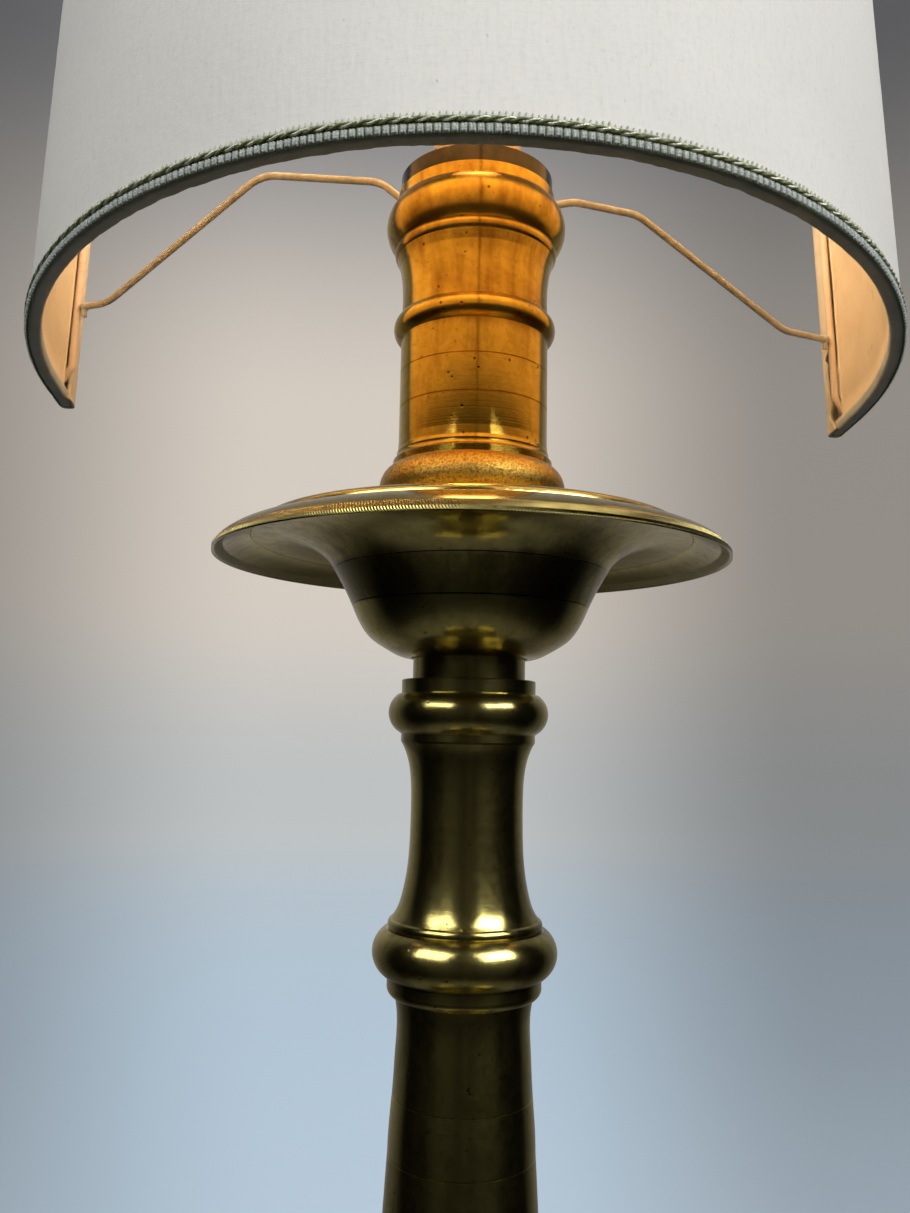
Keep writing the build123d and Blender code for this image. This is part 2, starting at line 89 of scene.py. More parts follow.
GRIME_AND_SHADE = (                           # heights on the column and how dark the brass is drawn there: grime in the grooves, and painted shade under the rings, the knops and the pan
    (0.270, 0.35), (0.2835, 0.42), (0.2845, 0.20), (0.306, 0.20), (0.3080, 0.45), (0.330, 0.42),
    (0.3460, 0.75), (0.3485, 0.35), (0.3525, 0.55), (0.3562, 0.95), (0.3590, 0.30), (0.3735, 0.35),
    (0.3750, 0.80), (0.3790, 0.45), (0.3860, 0.15), (0.4480, 0.35), (0.4530, 0.70), (0.4570, 0.40),
    (0.4740, 0.35), (0.4800, 0.60), (0.4925, 0.45), (0.4985, 0.25), (0.5110, 0.30), (0.5125, 0.92),
    (0.5270, 0.95), (0.5290, 0.30), (0.5700, 0.25), (0.6300, 0.35), (0.6345, 0.80), (0.6390, 0.10),
    (0.6455, 0.60), (0.7100, 0.35))

RNG = np.random.default_rng(7)


# ---- Places on the shade -------------------------------------------------------------------------
def plan(s):
    """Anchor points and outward directions along the shade's plan, at lengths s on its outer face."""
    s = np.asarray(s, float)
    turn = np.clip((s - LEG) / FACE_R, 0, math.pi)
    out = np.stack([-np.cos(turn), -np.sin(turn)], -1)
    past = np.maximum(s - (PATH - LEG), 0)
    y = CENTRE_Y + np.maximum(LEG - s, 0) + past
    anchor = np.stack([np.zeros_like(y), y], -1)
    return anchor, out


def on_shade(s, r, h):
    """Points at length s along the wall, distance r from its centre line and height h above the hem."""
    s, r, h = np.broadcast_arrays(np.asarray(s, float), np.asarray(r, float), np.asarray(h, float))
    anchor, out = plan(s)
    xy = anchor + out * r[..., None]
    y, z = xy[..., 1], h
    c, k = math.cos(TILT), math.sin(TILT)
    return np.stack([xy[..., 0], y * c - z * k, HEM_Z + y * k + z * c], -1)


# ---- Mesh building -------------------------------------------------------------------------------
def smooth_noise(n, step, rng, wrap=False):
    """n values that wander between about -1 and 1, with a bend every `step` values."""
    knots = max(4, int(n / step) + 4)
    values = rng.uniform(-1, 1, knots)
    if wrap:
        values[-1] = values[0]
    x = np.linspace(0, knots - 1.001, n)
    i = x.astype(int)
    t = x - i
    t = t * t * (3 - 2 * t)
    return values[i] * (1 - t) + values[np.minimum(i + 1, knots - 1)] * t


def build(name, verts, faces, material, body, smooth=True, along=None):
    """Make a mesh piece with a finish, riding on a body."""
    mesh = bpy.data.meshes.new(name)
    mesh.from_pydata([tuple(v) for v in verts], [], [tuple(int(i) for i in f) for f in faces])
    mesh.validate()
    mesh.polygons.foreach_set("use_smooth", [smooth] * len(mesh.polygons))
    if along is not None:
        a = mesh.attributes.new("along", "FLOAT_VECTOR", "POINT")
        a.data.foreach_set("vector", np.asarray(along, np.float32).ravel())
    mesh.materials.append(material)
    obj = bpy.data.objects.new(name, mesh)
    bpy.context.scene.collection.objects.link(obj)
    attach(obj, body)
    return obj


def flipped(faces):
    """The same faces, turned to look the other way."""
    return [tuple(f)[::-1] for f in faces]


def grid_faces(rows, cols, start=0):
    """Quads over a rows x cols grid of points."""
    a, b = np.meshgrid(np.arange(rows - 1), np.arange(cols - 1), indexing="ij")
    n = a + 1
    quads = np.stack([a * cols + b, a * cols + b + 1, n * cols + b + 1, n * cols + b], -1)
    return quads.reshape(-1, 4) + start


def sheet_faces(cols, rows, turn):
    """Faces of a thin sheet: two grids of points, one behind the other, joined round their edges.
    Turn is 1 if the first grid faces the shade's inside and -1 if it faces out."""
    n = cols * rows
    faces = [tuple(q)[::turn] for q in grid_faces(cols, rows)]
    faces += [tuple(q)[::-turn] for q in grid_faces(cols, rows, n)]
    for i in range(cols - 1):
        for row, way in ((0, -turn), (rows - 1, turn)):
            a, b = i * rows + row, (i + 1) * rows + row
            faces.append((a, b, n + b, n + a)[::way])
    for j in range(rows - 1):
        for col, way in ((0, turn), (cols - 1, -turn)):
            a = col * rows + j
            faces.append((a, a + 1, n + a + 1, n + a)[::way])
    return faces


def ring_faces(n, m):
    """Quads over n rings of m points."""
    faces = []
    for i in range(n - 1):
        for j in range(m):
            k = (j + 1) % m
            faces.append((i * m + j, i * m + k, (i + 1) * m + k, (i + 1) * m + j))
    return faces


def capped_faces(n, m):
    """The same, with a flat cap at each end."""
    return ring_faces(n, m) + [tuple(range(m))[::-1], tuple((n - 1) * m + j for j in range(m))]


def swept(section_r, section_h, s):
    """A closed section, given per station as (stations, points) arrays, swept along the shade and
    capped at both ends. Returns points, faces and, for each point, its length along the shade and
    its way round the section."""
    n, m = section_r.shape
    pts = on_shade(s[:, None], section_r, section_h)
    run = np.cumsum(np.hypot(np.diff(section_r[0], append=section_r[0, :1]),
                             np.diff(section_h[0], append=section_h[0, :1])))
    along = np.stack([np.repeat(s, m), np.tile(run, n), np.zeros(n * m)], -1)
    return pts.reshape(-1, 3), capped_faces(n, m), along


def tube(points, radius, sides):
    """Round tube with flat ends along 3-D points."""
    p = np.asarray(points, float)
    n = len(p)
    t = np.gradient(p, axis=0)
    t /= np.linalg.norm(t, axis=1)[:, None]
    u = np.zeros_like(p)
    ref = np.array([0.0, 0.0, 1.0]) if abs(t[0, 2]) < 0.9 else np.array([1.0, 0.0, 0.0])
    u[0] = np.cross(t[0], ref)
    u[0] /= np.linalg.norm(u[0])
    for i in range(1, n):
        v = u[i - 1] - t[i] * np.dot(u[i - 1], t[i])
        u[i] = v / np.linalg.norm(v)
    w = np.cross(t, u)
    a = np.linspace(0, 2 * math.pi, sides, endpoint=False)
    rim = (np.cos(a)[None, :, None] * u[:, None, :] + np.sin(a)[None, :, None] * w[:, None, :])
    verts = (p[:, None, :] + rim * radius).reshape(-1, 3)
    return verts, capped_faces(n, sides)


def joined(parts):
    """One list of points and faces from several."""
    verts, faces, base = [], [], 0
    for v, f in parts:
        verts.append(np.asarray(v))
        faces.extend(tuple(int(i) + base for i in face) for face in f)
        base += len(v)
    return np.concatenate(verts), faces


# ---- Node helpers --------------------------------------------------------------------------------
class Finish:
    """A Principled material and short ways to add nodes to it."""

    def __init__(self, name):
        self.mat = bpy.data.materials.new(name)
        self.mat.use_nodes = True
        self.tree = self.mat.node_tree
        self.bsdf = self.tree.nodes["Principled BSDF"]

    def add(self, kind, inputs=None, **props):
        """New node, with values or links for its inputs."""
        n = self.tree.nodes.new(kind)
        for k, v in props.items():
            setattr(n, k, v)
        for k, v in (inputs or {}).items():
            if isinstance(v, bpy.types.NodeSocket):
                self.tree.links.new(v, n.inputs[k])
            else:
                n.inputs[k].default_value = v
        return n

    def put(self, **values):
        """Set or link the Principled inputs, with _ for a space in a name."""
        for k, v in values.items():
            socket = self.bsdf.inputs[k.replace("_", " ")]
            if isinstance(v, bpy.types.NodeSocket):
                self.tree.links.new(v, socket)
            else:
                socket.default_value = v
        return self

    def place(self):
        """Where a point is, in metres."""
        return self.add("ShaderNodeTexCoord").outputs["Object"]

    def along(self):
        """Length and height along a strip, from the mesh."""
        return self.add("ShaderNodeAttribute", attribute_name="along").outputs["Vector"]

    def scaled(self, vec, x, y, z):
        """The vector, stretched by a factor along each axis."""
        return self.add("ShaderNodeVectorMath", {0: vec, 1: (x, y, z)}, operation="MULTIPLY").outputs[0]

    def noise(self, vec, scale, detail, rough, warp=0.0):
        """Cloudy value from 0 to 1, mostly near a half."""
        n = self.add("ShaderNodeTexNoise", {"Vector": vec, "Scale": scale, "Detail": detail,
                                            "Roughness": rough, "Distortion": warp})
        return n.outputs["Fac"]

    def cells(self, vec, scale):
        """Distance to the nearest of many scattered points."""
        return self.add("ShaderNodeTexVoronoi", {"Vector": vec, "Scale": scale}).outputs["Distance"]

    def span(self, value, low, high, to_low=0.0, to_high=1.0):
        """Soft step from one value to another as the input goes from low to high."""
        n = self.add("ShaderNodeMapRange", {"Value": value, "From Min": low, "From Max": high,
                                            "To Min": to_low, "To Max": to_high})
        n.interpolation_type = "SMOOTHSTEP"
        return n.outputs["Result"]

    def calc(self, op, a, b=0.0):
        """One step of arithmetic on numbers or sockets."""
        return self.add("ShaderNodeMath", {0: a, 1: b}, operation=op).outputs[0]

    def mix(self, fac, a, b):
        """Colour that goes from a to b as fac goes from 0 to 1."""
        n = self.add("ShaderNodeMix", data_type="RGBA")
        for index, v in ((0, fac), (6, a), (7, b)):
            if isinstance(v, bpy.types.NodeSocket):
                self.tree.links.new(v, n.inputs[index])
            else:
                n.inputs[index].default_value = v if index == 0 else (*v[:3], 1.0)
        return n.outputs[2]

    def bump(self, height, distance, strength, normal=None):
        """Normal of a surface with this relief, on top of another relief's normal if given."""
        inputs = {"Height": height, "Distance": distance, "Strength": strength}
        if normal is not None:
            inputs["Normal"] = normal
        return self.add("ShaderNodeBump", inputs).outputs["Normal"]

    def parts(self, vec):
        """The x, y and z of a vector."""
        return self.add("ShaderNodeSeparateXYZ", {0: vec}).outputs

    def by_height(self, vec, low, high, stops):
        """Grey value read off a list of (height, value) stops."""
        z = self.parts(vec)[2]
        share = self.add("ShaderNodeMapRange", {"Value": z, "From Min": low, "From Max": high})
        ramp = self.add("ShaderNodeValToRGB", {"Fac": share.outputs["Result"]})
        points = ramp.color_ramp.elements
        while len(points) < len(stops):
            points.new(0.5)
        for point, (height, value) in zip(points, stops):
            point.position = (height - low) / (high - low)
            point.color = (value, value, value, 1)
        return ramp.outputs["Color"]


# ---- Finishes ------------------------------------------------------------------------------------
def from_axis(f, at):
    """Distance from the column's axis."""
    flat = f.scaled(at, 1, 1, 0)
    return f.add("ShaderNodeVectorMath", {0: flat}, operation="LENGTH").outputs["Value"]


def lathe_lines(f, at, scale):
    """Value that changes only with radius and height, like marks left by a lathe."""
    line = f.add("ShaderNodeCombineXYZ", {0: from_axis(f, at), 1: 0.0, 2: f.parts(at)[2]})
    return f.noise(line.outputs[0], scale, 2.0, 0.7)


def milled_edge(f, at):
    """Slanting cuts of a milling wheel round the pan's turned-down edge."""
    x, y, z = f.parts(at)
    low, high = PAN_EDGE_Z
    cuts = f.calc("MULTIPLY", f.calc("ARCTAN2", y, x), MILLED_CUTS)
    wave = f.calc("SINE", f.calc("ADD", cuts, f.calc("MULTIPLY", z, MILLED_SLANT)))
    band = f.calc("MULTIPLY", f.span(z, low, low + 0.0005), f.span(z, high, high - 0.0006))
    rim = f.span(from_axis(f, at), *PAN_EDGE_R)
    return f.calc("MULTIPLY", wave, f.calc("MULTIPLY", band, rim))


def aged_brass(name, light, worn, patina, rough, spot, pit, pitting, turned, milled=False):
    """Old turned brass: fine lathe lines, patina in the hollows with painted shade under the rings and the
    pan, streaks, spots and pits. Pitting is where the pits begin, lower for more of them, and turned is
    how far the lathe lines stretch the reflections."""
    f = Finish(name)
    at = f.place()
    lines = lathe_lines(f, at, 1400)
    broad = f.noise(at, 22, 5, 0.62, 0.6)
    streaks = f.noise(f.scaled(at, 1, 1, 0.09), 150, 4, 0.65)
    mottle = f.noise(at, 190, 6, 0.7, 0.4)
    # darker bands by height: grime in the grooves, and painted shade under the rings, the knops and the
    # pan
    grime_and_shade = f.by_height(at, 0.27, 0.71, GRIME_AND_SHADE)
    wear = f.calc("ADD", f.calc("MULTIPLY", broad, 0.62), f.calc("MULTIPLY", streaks, 0.38))
    dark = f.span(f.calc("ADD", wear, f.calc("MULTIPLY", grime_and_shade, 0.30)), 0.52, 0.86)
    spots = f.span(f.noise(at, 520, 3, 0.6), 0.62, 0.70)
    pits = f.span(f.cells(at, 230), 0.20, 0.08)
    where = f.span(f.noise(at, 60, 4, 0.6, 1.0), pitting, pitting + 0.10)
    pitted = f.calc("MULTIPLY", pits, where)
    smears = f.span(f.noise(f.scaled(at, 0.35, 0.35, 2.2), 95, 5, 0.7, 0.8), 0.62, 0.74)
    metal = f.mix(f.span(mottle, 0.35, 0.68), light, worn)
    metal = f.mix(dark, metal, patina)
    metal = f.mix(f.calc("MULTIPLY", smears, 0.45), metal, patina)
    metal = f.mix(f.calc("MULTIPLY", spots, 0.40), metal, spot)
    metal = f.mix(f.calc("MULTIPLY", pitted, 0.9), metal, pit)
    dull = f.calc("ADD", f.span(mottle, 0.2, 0.8, *rough), f.calc("MULTIPLY", dark, 0.07))
    normal = f.bump(lines, 0.00005, 0.5)
    normal = f.bump(mottle, 0.00008, 0.5, normal)
    normal = f.bump(f.calc("SUBTRACT", 1.0, pitted), 0.0002, 0.4, normal)
    if milled:
        metal = f.mix(f.span(from_axis(f, at), 0.097, 0.104, 0.0, 0.55), metal, patina)
        normal = f.bump(milled_edge(f, at), 0.00025, 0.9, normal)
    round_the_axis = f.add("ShaderNodeTangent", direction_type="RADIAL", axis="Z").outputs[0]
    return f.put(Base_Color=metal, Metallic=1.0, Roughness=dull, Normal=normal, Tangent=round_the_axis,
                 Anisotropic=turned, Anisotropic_Rotation=0.25).mat


def cast_brass():
    """Grainy casting skin on the ring foot of the candle tube. Its orange tint is painted reflection of
    the lamp-lit lining; the grain and specks are real.
    """
    f = Finish("cast_brass")
    at = f.place()
    grain = f.noise(at, 900, 5, 0.75)
    lumps = f.noise(at, 330, 3, 0.6)
    specks = f.span(f.cells(at, 620), 0.30, 0.12)
    # orange tint: painted reflection of the lamp-lit lining
    metal = f.mix(f.span(grain, 0.42, 0.66), (0.90, 0.56, 0.11), (0.34, 0.18, 0.03))
    metal = f.mix(f.calc("MULTIPLY", specks, 0.5), metal, (0.80, 0.42, 0.08))
    normal = f.bump(lumps, 0.0004, 0.6)
    normal = f.bump(grain, 0.0003, 0.8, normal)
    return f.put(Base_Color=metal, Metallic=1.0, Roughness=f.span(grain, 0.3, 0.7, 0.24, 0.42),
                 Normal=normal).mat


def plain_metal(name, light, dark, rough, scale=300):
    """Mottled metal with fine scratches."""
    f = Finish(name)
    at = f.place()
    mottle = f.noise(at, scale, 5, 0.6)
    scratch = f.noise(f.scaled(at, 1, 1, 9), scale, 3, 0.6)
    colour = f.mix(f.span(mottle, 0.35, 0.7), light, dark)
    normal = f.bump(scratch, 0.00006, 0.5)
    dull = f.span(mottle, 0.2, 0.8, rough, rough + 0.15)
    return f.put(Base_Color=colour, Metallic=1.0, Roughness=dull, Normal=normal).mat


def painted_wire():
    """Cream paint on steel wire, worn brown at bends and edges."""
    f = Finish("cream_wire")
    at = f.place()
    mottle = f.noise(at, 260, 5, 0.65)
    chips = f.span(f.noise(at, 75, 6, 0.75, 0.8), 0.58, 0.68)
    paint = f.mix(f.span(mottle, 0.35, 0.7), (0.58, 0.58, 0.54), (0.44, 0.43, 0.39))
    worn = f.mix(mottle, (0.24, 0.18, 0.10), (0.10, 0.075, 0.045))
    colour = f.mix(f.calc("MULTIPLY", chips, 0.8), paint, worn)
    normal = f.bump(f.calc("ADD", mottle, f.calc("MULTIPLY", chips, -0.7)), 0.0002, 0.6)
    return f.put(Base_Color=colour, Roughness=f.span(chips, 0, 1, 0.45, 0.62), Normal=normal).mat


def card(name, light, dark, stain, seam_and_rib_shadow=None):
    """Matte card with faint blotches and fine fibres. The seam colour darkens a strip down the closed
    front: a joint in the card, and painted shadow of the front rib.
    """
    f = Finish(name)
    at = f.place()
    fibres = f.noise(f.scaled(at, 1, 1, 0.35), 1300, 4, 0.7)
    blotch = f.noise(at, 32, 5, 0.65, 0.8)
    marks = f.span(f.noise(at, 90, 5, 0.7, 1.2), 0.60, 0.72)
    colour = f.mix(f.span(blotch, 0.3, 0.7), light, dark)
    colour = f.mix(f.calc("MULTIPLY", marks, 0.45), colour, stain)
    if seam_and_rib_shadow:
        # dark strip down the front: a joint in the card, and painted shadow of the front rib
        x, y, _ = f.parts(at)
        joint_and_rib_shadow = f.calc("MULTIPLY", f.span(f.calc("ABSOLUTE", x), 0.0032, 0.0024),
                       f.span(y, 0.0, -0.02))
        colour = f.mix(f.calc("MULTIPLY", joint_and_rib_shadow, 0.95), colour, seam_and_rib_shadow)
    normal = f.bump(fibres, 0.0001, 0.5)
    return f.put(Base_Color=colour, Roughness=0.78, Normal=normal).mat


def threads(f, value, pitch, wobble=None):
    """Wave with one crest for each thread. Wobble is a (noise, amount) pair that bends the rows."""
    angle = f.calc("MULTIPLY", value, 2 * math.pi / pitch)
    if wobble:
        angle = f.calc("ADD", angle, f.calc("MULTIPLY", *wobble))
    return f.calc("SINE", angle)


def crossed(f, a, b):
    """0 to 1 where two sets of threads cross."""
    return f.calc("MULTIPLY", f.calc("ADD", f.calc("MULTIPLY", a, b), 1.0), 0.5)


def linen():
    """Plain-woven linen, read off length and height along the wall."""
    f = Finish("linen")
    run = f.along()
    s, h, _ = f.parts(run)
    wobble = f.noise(run, 60, 2, 0.5)
    weave = crossed(f, threads(f, s, WARP_PITCH, (wobble, 9.0)),
                    threads(f, h, WEFT_PITCH, (wobble, 9.0)))
    slub_v = f.noise(f.scaled(run, 1, 0.10, 1), 800, 3, 0.6)
    slub_h = f.noise(f.scaled(run, 0.11, 1, 1), 900, 3, 0.6)
    specks = f.span(f.noise(f.scaled(run, 1, 0.45, 1), 700, 2, 0.5), 0.71, 0.77)
    soft = f.noise(run, 7, 3, 0.5)
    colour = f.mix(f.span(soft, 0.3, 0.7), (0.86, 0.84, 0.785), (0.79, 0.775, 0.73))
    colour = f.mix(f.span(slub_v, 0.50, 0.72, 0.0, 0.17), colour, (0.56, 0.55, 0.50))
    colour = f.mix(f.span(slub_h, 0.52, 0.74, 0.0, 0.13), colour, (0.60, 0.59, 0.54))
    grain = f.noise(run, 430, 4, 0.65)
    colour = f.mix(f.span(grain, 0.48, 0.72, 0.0, 0.22), colour, (0.58, 0.57, 0.53))
    colour = f.mix(f.calc("MULTIPLY", specks, 0.5), colour, (0.33, 0.31, 0.26))
    colour = f.mix(f.span(weave, 0.0, 1.0, 0.22, 0.0), colour, (0.42, 0.41, 0.37))
    height = f.calc("ADD", f.calc("ADD", f.calc("MULTIPLY", weave, 0.5), f.calc("MULTIPLY", grain, 0.8)),
                    f.calc("ADD", f.calc("MULTIPLY", slub_v, 0.55), f.calc("MULTIPLY", slub_h, 0.45)))
    normal = f.bump(height, 0.00022, 0.55)
    return f.put(Base_Color=colour, Roughness=0.86, Sheen_Weight=0.12, Sheen_Roughness=0.5,
                 Normal=normal).mat


def woven_tape(name, light, dark):
    """Narrow woven tape with fine ribs across it."""
    f = Finish(name)
    run = f.along()
    s, h, _ = f.parts(run)
    wobble = f.noise(run, 240, 2, 0.5)
    weave = crossed(f, threads(f, s, TAPE_PITCH, (wobble, 6.0)), threads(f, h, TAPE_PITCH * 0.8))
    fuzz = f.noise(f.place(), 700, 4, 0.7)
    soil = f.noise(f.place(), 60, 4, 0.6)
    colour = f.mix(f.span(soil, 0.35, 0.7), light, dark)
    colour = f.mix(f.span(weave, 0, 1, 0.3, 0.0), colour, tuple(0.6 * c for c in dark))
    normal = f.bump(f.calc("ADD", weave, f.calc("MULTIPLY", fuzz, 0.8)), 0.00016, 0.6)
    return f.put(Base_Color=colour, Roughness=0.85, Sheen_Weight=0.15, Sheen_Roughness=0.45,
                 Normal=normal).mat


def yarn(name, light, dark, gloss, metal=0.0, ply=0.0008):
    """Spun yarn: fine ply lines, a slight sheen and flecks of gloss."""
    f = Finish(name)
    at = f.place()
    fine = f.noise(f.scaled(at, 1, 1, 1.6), 1 / ply, 4, 0.7)
    soft = f.noise(at, 320, 3, 0.6)
    colour = f.mix(f.span(fine, 0.32, 0.68), light, dark)
    colour = f.mix(f.span(soft, 0.45, 0.75, 0.0, 0.35), colour, tuple(0.5 * c for c in dark))
    normal = f.bump(fine, 0.00025, 0.7)
    return f.put(Base_Color=colour, Roughness=gloss, Metallic=metal, Sheen_Weight=0.1, Sheen_Roughness=0.4,
                 Normal=normal).mat


def baize():
    """Green felt, rubbed pale in places."""
    f = Finish("green_baize")
    at = f.place()
    nap = f.noise(at, 1100, 4, 0.75)
    worn = f.noise(at, 45, 4, 0.6)
    colour = f.mix(f.span(nap, 0.3, 0.7), (0.045, 0.13, 0.06), (0.02, 0.06, 0.03))
    colour = f.mix(f.span(worn, 0.5, 0.75, 0.0, 0.4), colour, (0.09, 0.13, 0.08))
    return f.put(Base_Color=colour, Roughness=0.95, Sheen_Weight=0.35, Sheen_Roughness=0.4,
                 Normal=f.bump(nap, 0.0005, 0.8)).mat


def plastic(name, light, dark, rough):
    """Even, hard surface: plastic, ceramic or glass."""
    f = Finish(name)
    grain = f.noise(f.place(), 1500, 3, 0.6)
    dull = f.span(grain, 0.2, 0.8, rough, rough + 0.1)
    return f.put(Base_Color=f.mix(grain, light, dark), Roughness=dull,
                 Normal=f.bump(grain, 0.00008, 0.4)).mat


def lit_glass():
    """Frosted envelope of a burning bulb."""
    f = Finish("bulb_glass")
    z = f.parts(f.place())[2]
    frost = f.noise(f.place(), 900, 3, 0.6)
    warm = f.mix(f.span(z, 0.752, 0.80), (1.0, 0.47, 0.14), (1.0, 0.66, 0.32))
    return f.put(Base_Color=f.mix(frost, (0.95, 0.91, 0.84), (0.88, 0.83, 0.75)), Roughness=0.4,
                 Emission_Color=warm, Emission_Strength=BULB_GLOW, Normal=f.bump(frost, 0.00008, 0.3)).mat


finishes = {
    "aged_brass": aged_brass(
        "aged_brass", light=(0.60, 0.49, 0.16), worn=(0.48, 0.41, 0.13), patina=(0.15, 0.12, 0.04),
        rough=(0.15, 0.24), spot=(0.12, 0.08, 0.02), pit=(0.03, 0.022, 0.01), pitting=0.54, turned=0.5),
    "milled_brass": aged_brass(
        "milled_brass", light=(0.60, 0.49, 0.17), worn=(0.48, 0.41, 0.14), patina=(0.15, 0.12, 0.04),
        rough=(0.15, 0.24), spot=(0.12, 0.08, 0.02), pit=(0.02, 0.015, 0.008), pitting=0.50, turned=0.5,
        milled=True),
    # the candle tube's amber tint is painted reflection of the lamp-lit lining in front of it; its
    # red-brown spots and pits are real marks
    "amber_brass": aged_brass(
        "amber_brass", light=(0.76, 0.50, 0.07), worn=(0.63, 0.40, 0.055), patina=(0.30, 0.14, 0.02),
        rough=(0.15, 0.21), spot=(0.20, 0.05, 0.01), pit=(0.09, 0.012, 0.004), pitting=0.51, turned=0.9),
    "green_baize": baize(),
    "black_plastic": plastic("black_plastic", (0.035, 0.035, 0.035), (0.02, 0.02, 0.02), 0.4),
    "steel": plain_metal("steel", (0.50, 0.49, 0.47), (0.30, 0.29, 0.27), 0.3),
    "ceramic": plastic("ceramic", (0.82, 0.80, 0.74), (0.74, 0.71, 0.64), 0.45),
    "cream_card": card("cream_card", (0.74, 0.58, 0.44), (0.66, 0.50, 0.36), (0.45, 0.30, 0.18)),
    "contact_brass": plain_metal("contact_brass", (0.80, 0.62, 0.28), (0.60, 0.44, 0.18), 0.22),
    "solder": plain_metal("solder", (0.60, 0.60, 0.60), (0.42, 0.42, 0.42), 0.35),
    "black_glass": plastic("black_glass", (0.02, 0.02, 0.02), (0.012, 0.012, 0.012), 0.1),
    "bulb_cap": plain_metal("bulb_cap", (0.74, 0.73, 0.71), (0.55, 0.54, 0.52), 0.25),
    "bulb_glass": lit_glass(),
    "stem_glass": plastic("stem_glass", (0.82, 0.84, 0.82), (0.78, 0.80, 0.78), 0.08),
    "tungsten": plain_metal("tungsten", (0.50, 0.45, 0.40), (0.35, 0.31, 0.28), 0.35),
    "dark_steel": plain_metal("dark_steel", (0.075, 0.062, 0.045), (0.035, 0.03, 0.022), 0.10, 60),
    "covered_wire": card("covered_wire", (0.78, 0.64, 0.50), (0.70, 0.56, 0.42), (0.50, 0.36, 0.24)),
    "rib_wrap": card("rib_wrap", (0.10, 0.06, 0.035), (0.06, 0.035, 0.02), (0.03, 0.02, 0.01)),
    "cream_wire": painted_wire(),
    # the lining's dark front strip is a joint in the card and painted shadow of the front rib
    "lining_card": card("lining_card", (0.80, 0.67, 0.48), (0.74, 0.60, 0.41), (0.50, 0.36, 0.20),
                        seam_and_rib_shadow=(0.10, 0.06, 0.03)),
    "linen": linen(),
    # the hem is white tape; its grey-blue here is painted shade of the bottom hem's underside, used on the
    # top hem too
    "hem_tape": woven_tape("hem_tape", (0.56, 0.60, 0.59), (0.43, 0.46, 0.46)),
    "end_tape": woven_tape("end_tape", (0.84, 0.76, 0.60), (0.72, 0.62, 0.46)),
    "braid_pearl": yarn("braid_pearl", (0.66, 0.70, 0.66), (0.20, 0.23, 0.21), 0.35, 0.0, 0.0005),
    "braid_olive": yarn("braid_olive", (0.24, 0.27, 0.09), (0.09, 0.11, 0.03), 0.55),
    "braid_metal": yarn("braid_metal", (0.80, 0.80, 0.62), (0.46, 0.47, 0.30), 0.28, 0.6),
    "braid_thread": yarn("braid_thread", (0.72, 0.74, 0.62), (0.30, 0.32, 0.22), 0.45, 0.0, 0.0006),
}

# ---- CAD nodes that keep their shape --------------------------------------------------------------
slots = {row["node"]: row["material_slot"] for row in frame["record"]["subparts"]}
for name, obj in nodes.items():
    obj.data.materials.clear()
    # the rope's slot has no finish of its own name, since its two cords differ
    obj.data.materials.append(finishes.get(slots[name], finishes["braid_olive"]))
# amber tint on the tube: painted reflection of the lamp-lit lining
nodes["candle_tube"].data.materials[0] = finishes["amber_brass"]
nodes["candle_base"].data.materials[0] = cast_brass()
nodes["drip_pan"].data.materials[0] = finishes["milled_brass"]
for end in ("left", "right"):
    nodes[f"frame_end_wire_{end}"].data.materials[0] = finishes["covered_wire"]
nodes["frame_front_rib"].data.materials[0] = finishes["rib_wrap"]


# ---- Shade cover ---------------------------------------------------------------------------------
def shade_cover():
    """Linen stretched over the frame: a thin sheet with faint slubs and slack between the wires."""
    cols, rows = 640, 200
    s = np.linspace(0, PATH, cols)
    h = np.linspace(HEM_H, SHADE_H - HEM_H, rows)
    S, H = np.meshgrid(s, h, indexing="ij")
    slack = np.sin(math.pi * (H - HEM_H) / (SHADE_H - 2 * HEM_H))
    swell = smooth_noise(cols, 60, RNG)[:, None] * 0.00035 * slack
    slubs = RNG.normal(0, 1, (cols, rows))
    kernel = np.array([1, 3, 6, 9, 6, 3, 1], float)
    kernel /= kernel.sum()
    for _ in range(2):
        slubs = np.apply_along_axis(lambda v: np.convolve(v, kernel, "same"), 1, slubs)
    slubs *= 0.00007
    outer = FACE_R + swell + slubs
    outer[:, [0, -1]] = FACE_R
    inner = outer - FABRIC_T
    skin = on_shade(S, outer, H).reshape(-1, 3)
    back = on_shade(S, inner, H).reshape(-1, 3)
    run = np.stack([S, H, np.zeros_like(S)], -1).reshape(-1, 3)
    piece = build("linen_cover", np.concatenate([skin, back]), sheet_faces(cols, rows, -1),
                  finishes["linen"], "shade", along=np.concatenate([run, run]))
    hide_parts("shade_fabric")
    return piece


def card_lining():
    """Card inside the frame, with edges that were cut by hand."""
    cols, rows = 260, 24
    s = np.linspace(LINING_INSET, PATH - LINING_INSET, cols)
    lean = np.linspace(0, 1, rows)
    low = HEM_H - 0.0012 + 0.0002 * smooth_noise(cols, 12, RNG)
    high = SHADE_H - HEM_H + 0.0012
    H = low[:, None] + (high - low[:, None]) * lean[None, :]
    S = np.repeat(s[:, None], rows, 1)
    S[0] += 0.0004 * smooth_noise(rows, 4, RNG)
    S[-1] += 0.0004 * smooth_noise(rows, 4, RNG)
    wave = 0.00025 * smooth_noise(cols, 26, RNG)[:, None] * np.sin(math.pi * lean)[None, :]
    inner = SHADE_R + 0.0001 + wave
    skin = on_shade(S, inner, H).reshape(-1, 3)
    back = on_shade(S, inner + 0.0006, H).reshape(-1, 3)
    piece = build("card_lining", np.concatenate([skin, back]), sheet_faces(cols, rows, 1),
                  finishes["lining_card"], "shade")
    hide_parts("shade_lining")


